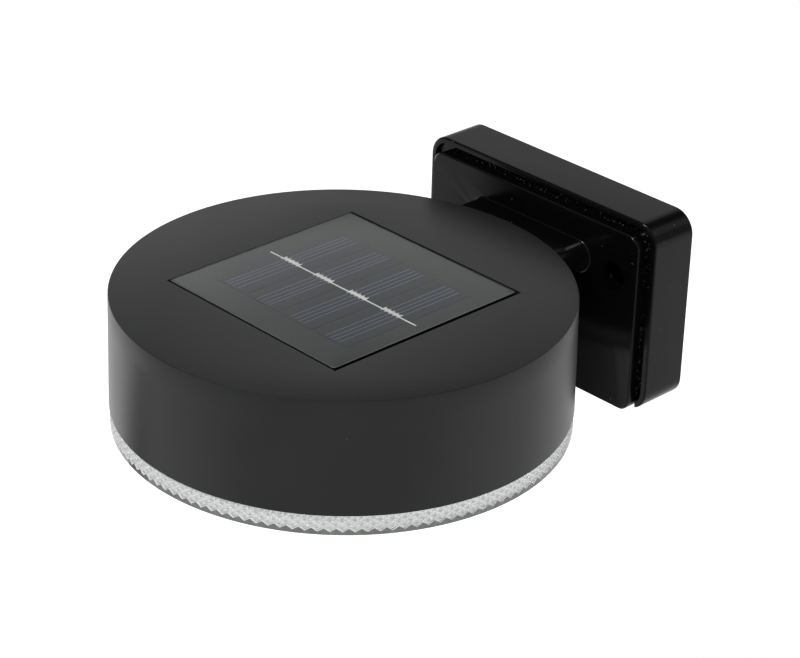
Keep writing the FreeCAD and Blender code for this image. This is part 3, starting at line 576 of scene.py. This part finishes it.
lens = {
    "diamonds": 124,             # round the skirt
    "rows": 1.5,                 # whole diamonds up the skirt
    "depth": 0.55 * mm,          # of the cuts
    "ridge": 0.95 * mm,          # zigzag of the plain foot's upper edge
    "flange": 2.00 * mm,         # plain band at the foot
    "wall": 2.2 * mm,
    "floor": 1.5 * mm,
    "collarRadius": 52.9 * mm,
    "collarWall": 1.8 * mm,
    "sealWidth": 1.1 * mm,
    "sealDepth": 0.8 * mm,
    "lugTurns": (90, 210, 330),
    "lugHalfTurn": 6,
    "lugRadius": 55.4 * mm,
    "lugHeight": 2.0 * mm,
    "lugGap": 0.02 * mm,         # from the collar
    "lugSteps": 9,
}


def zigzag(x):
    # 0 at whole numbers, 1 halfway between them
    return 1 - np.abs(2 * (x - np.floor(x)) - 1)


def latheGrid(profile, columns, shift, lift):
    # a profile of (radius, height) turned round the axis; shift and lift move each point out and up
    turn = np.arange(columns) * 2 * math.pi / columns
    radius = profile[:, 0][:, None] + shift
    x = axisX + radius * np.cos(turn)
    y = axisY + radius * np.sin(turn)
    z = profile[:, 1][:, None] + lift
    return np.stack([x, y, z], axis=-1)


def latheFaces(rows, columns, closed):
    # two triangles a cell, cut along the diagonal that follows the diamonds' edges
    i, j = np.meshgrid(np.arange(rows if closed else rows - 1), np.arange(columns), indexing="ij")
    a = i * columns + j
    b = i * columns + (j + 1) % columns
    c = (i + 1) % rows * columns + (j + 1) % columns
    d = (i + 1) % rows * columns + j
    even = (i + j) % 2 == 0
    first = np.where(even[..., None], np.stack([a, b, c], -1), np.stack([a, b, d], -1))
    second = np.where(even[..., None], np.stack([a, c, d], -1), np.stack([b, c, d], -1))
    return np.concatenate([first.reshape(-1, 3), second.reshape(-1, 3)])


def makeLens(c):
    # skirt: radius less depth times the lower of two slanting zigzags, which leaves diamonds; the
    # lowest row starts on a zigzag edge, where the plain foot ends in a fine ridge
    columns = c["diamonds"] * 4
    outer = (lensHigh[0] - lensLow[0]) / 2
    foot, top = lensLow[2], skirtTop
    bandLow = foot + c["flange"]
    rows = int(c["rows"] * 4)
    heights = np.linspace(0, 1, rows + 1)
    around = np.arange(columns)[None, :] / 4
    rise = heights[:, None] * c["rows"]
    cut = np.minimum(zigzag(around + rise), zigzag(around - rise))
    band = np.stack([np.full(rows + 1, outer), bandLow + heights * (top - 0.25 * mm - bandLow)], -1)
    inner = outer - c["wall"]
    floorTop = foot + c["floor"]
    small = 0.2 * mm
    out, deep = outer - (c["wall"] - c["sealWidth"]) / 2, top - c["sealDepth"]
    collar = c["collarRadius"]
    before = [(0.0005, foot), (outer - 3 * small, foot), (outer - small, foot + 0.05 * mm),
              (outer, foot + small), (outer, bandLow - 0.10 * mm), (outer - 0.08 * mm, bandLow - 0.04 * mm),
              (outer - c["depth"], bandLow - 0.03 * mm)]
    after = [(outer - 0.1 * mm, top), (out, top), (out, deep), (out - c["sealWidth"], deep),
             (out - c["sealWidth"], top), (inner, top), (inner, floorTop), (collar, floorTop),
             (collar, lensHigh[2] - small), (collar - small, lensHigh[2]),
             (collar - c["collarWall"], lensHigh[2]), (collar - c["collarWall"], floorTop),
             (0.0005, floorTop)]
    profile = np.concatenate([before, band, after])
    shift = np.zeros((len(profile), columns))
    lift = np.zeros((len(profile), columns))
    first = len(before)
    shift[first:first + rows + 1] = -c["depth"] * (1 - cut)
    lift[first - 3:first] = -c["ridge"] * zigzag(around[0])
    points = latheGrid(profile, columns, shift, lift).reshape(-1, 3)
    faces = latheFaces(len(profile), columns, False)
    last = (len(profile) - 1) * columns
    faces = [list(f) for f in faces] + [list(np.arange(columns)[::-1]), list(last + np.arange(columns))]
    obj = linkMesh("prismLens", points, faces, lensClear, "lens")
    # marks for the painted shade on the foot and floor, the painted highlight on the ledge and the painted
    # shade on the diamonds
    for label, start, end, value in (("foot", 0, first - 2, 1), ("ridge", first - 2, first, 1),
                                     ("apexShadeMark", first, first + rows + 1, cut)):
        marks = np.zeros((len(profile), columns))
        marks[start:end] = value
        addMark(obj, label, marks)
    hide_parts("lens")
    return obj


def makeLugs(c):
    # three curved blocks on the collar: a rectangle of (radius, height) swept a few degrees round the axis
    high, inner = lensHigh[2], c["collarRadius"] + c["lugGap"]
    low, steps = high - c["lugHeight"], c["lugSteps"]
    radius = np.array((inner, c["lugRadius"], c["lugRadius"], inner))
    height = np.array((low, low, high, high))
    sweep = np.linspace(-c["lugHalfTurn"], c["lugHalfTurn"], steps)
    turn = np.radians(np.array(c["lugTurns"])[:, None] + sweep)[..., None]
    x, y = axisX + radius * np.cos(turn), axisY + radius * np.sin(turn)
    points = np.stack([x, y, np.broadcast_to(height, x.shape)], -1).reshape(-1, 3)
    i = np.arange(4)
    a = 4 * np.arange(steps - 1)[:, None]
    sides = np.stack([a + i, a + 4 + i, a + 4 + (i + 1) % 4, a + (i + 1) % 4], -1).reshape(-1, 4)
    ends = [i, 4 * (steps - 1) + i[::-1]]
    lug = np.concatenate([sides, ends])
    faces = (lug + 4 * steps * np.arange(len(c["lugTurns"]))[:, None, None]).reshape(-1, 4)
    return linkMesh("lensLugs", points, faces, lensClear, "lens")


panelLines = {
    # middles of the fine lines along X, in mm
    "columns": (-21.2, -19.9, -18.5, -16.8, -9.4, -7.8, -6.3, -5.0,
                2.9, 4.5, 6.0, 7.5, 15.5, 17.1, 18.5, 20.1),
    "width": 0.30 * mm,
    "back": 19.6 * mm,           # from the drum's axis, towards the wall
    "front": -19.8 * mm,
    "lineLow": 0.005 * mm,       # above the cells
    "lineHigh": 0.02 * mm,
    "ribbonWidth": 0.50 * mm,
    "ribbonIn": 0.45 * mm,       # its middle, from the front of the CAD ribbon's box
    "ribbonLow": 0.025 * mm,     # above the cells
    "ribbonThick": 0.10 * mm,
    "padWidth": 1.15 * mm,
    "padShift": 0.35 * mm,       # pads lie towards the wall from the ribbon
    "padDrop": 0.05 * mm,        # below the ticks
    "padMiddles": (-19.2, -7.25, 5.0, 17.05),
    "padLength": 6.0 * mm,
    "ticks": 5,                  # across each solder pad
    "tickSpan": 0.92,            # of the pad's length
    "tickWidth": 0.20 * mm,
    "tickLength": 2.1 * mm,
}


def stripBoxes(places, widthX, widthY, low, high):
    # one thin closed box for each (x, y) place: its four corners at the low level, then at the high one
    places = np.array(places)
    corners = np.array([(-1, -1), (1, -1), (1, 1), (-1, 1)]) / 2 * (widthX, widthY)
    flat = places[:, None, :] + corners
    points = np.concatenate([np.insert(flat, 2, z, axis=-1) for z in (low, high)], axis=1)
    sides = [(i, (i + 1) % 4, 4 + (i + 1) % 4, 4 + i) for i in range(4)]
    box = np.array([(3, 2, 1, 0), (4, 5, 6, 7), *sides])
    faces = box + 8 * np.arange(len(places))[:, None, None]
    return points.reshape(-1, 3), faces.reshape(-1, 4)


def makePanelLines(c):
    # fine grid lines on the cells and short ticks across the ribbon's solder pads, all under the resin
    cellTop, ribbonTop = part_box("solar_cells")[1][2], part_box("cell_ribbon")[1][2]
    middle = axisY + (c["back"] + c["front"]) / 2
    columns = [(x * mm, middle) for x in c["columns"]]
    points, faces = stripBoxes(columns, c["width"], c["back"] - c["front"],
                               cellTop + c["lineLow"], cellTop + c["lineHigh"])
    linkMesh("cellLines", points, faces, lineViolet, "lamp")
    low, high = [np.array(p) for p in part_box("cell_ribbon")]
    ribbonX, ribbonY = (low[0] + high[0]) / 2, low[1] + c["ribbonIn"]
    padY = ribbonY + c["padShift"]
    base = cellTop + c["ribbonLow"]
    pads = [(x * mm, padY) for x in c["padMiddles"]]
    spots = np.linspace(-0.5, 0.5, c["ticks"]) * c["padLength"] * c["tickSpan"]
    ticks = [(x + spot, padY) for x, y in pads for spot in spots]
    parts = [
        stripBoxes([(ribbonX, ribbonY)], high[0] - low[0], c["ribbonWidth"], base, base + c["ribbonThick"]),
        stripBoxes(pads, c["padLength"], c["padWidth"], base, ribbonTop - c["padDrop"]),
        stripBoxes(ticks, c["tickWidth"], c["tickLength"], base, ribbonTop),
    ]
    starts = np.cumsum([0] + [len(points) for points, faces in parts])
    points = np.concatenate([points for points, faces in parts])
    faces = np.concatenate([faces + start for (_, faces), start in zip(parts, starts)])
    obj = linkMesh("ribbonAndPads", points, faces, finishes["cell_silver"], "lamp")
    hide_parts("cell_ribbon")


resin = {
    "corner": 0.8 * mm,
    "cornerSteps": 7,            # points round each corner
    "bevel": 0.15 * mm,
    "overlap": 0.05 * mm,        # into the board, so that no two faces share one place
}

def makeResin(c):
    # one clear slab with rounded corners and a bevelled upper edge, cast round the cells: each ring of
    # points is four corner arcs, and the rings stand at the slab's foot, below its bevel and round its top
    low, high = [np.array(p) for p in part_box("panel_resin")]
    levels = np.array([(0, low[2] - c["overlap"]), (0, high[2] - c["bevel"]),
                       (0.4 * c["bevel"], high[2] - 0.3 * c["bevel"]), (c["bevel"], high[2])])
    steps = c["cornerSteps"]
    side = np.array([(1, 1), (-1, 1), (-1, -1), (1, -1)])[:, None, :]
    turn = np.radians(90 * np.arange(4)[:, None] + np.linspace(0, 90, steps))
    arc = c["corner"] * np.stack([np.cos(turn), np.sin(turn)], -1)
    edge = np.where(side > 0, high[:2], low[:2])
    inset = c["corner"] + levels[:, 0][:, None, None, None]
    flat = (edge - side * inset + arc).reshape(len(levels), -1, 2)
    ring = flat.shape[1]
    height = np.broadcast_to(levels[:, 1][:, None, None], (len(levels), ring, 1))
    points = np.concatenate([flat, height], -1).reshape(-1, 3)
    a = np.arange((len(levels) - 1) * ring)
    b = a - a % ring + (a + 1) % ring
    faces = np.stack([a, b, b + ring, a + ring], -1).tolist()
    faces += [list(range(ring - 1, -1, -1)), list(range((len(levels) - 1) * ring, len(levels) * ring))]
    obj = linkMesh("resinSlab", points, faces, resinClear, "lamp", smoothing["angle"])
    # the cut sides carry the painted shade
    addMark(obj, "rim", np.repeat((1.0, 1.0, 1.0, 0.0), ring))
    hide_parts("panel_resin")


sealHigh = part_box("lens_seal")[1][2]
skirtTop = sealHigh - 0.1 * mm
makeLens(lens)
makeLugs(lens)
print("lens cut")
makeResin(resin)
makePanelLines(panelLines)
print("panel lines laid")
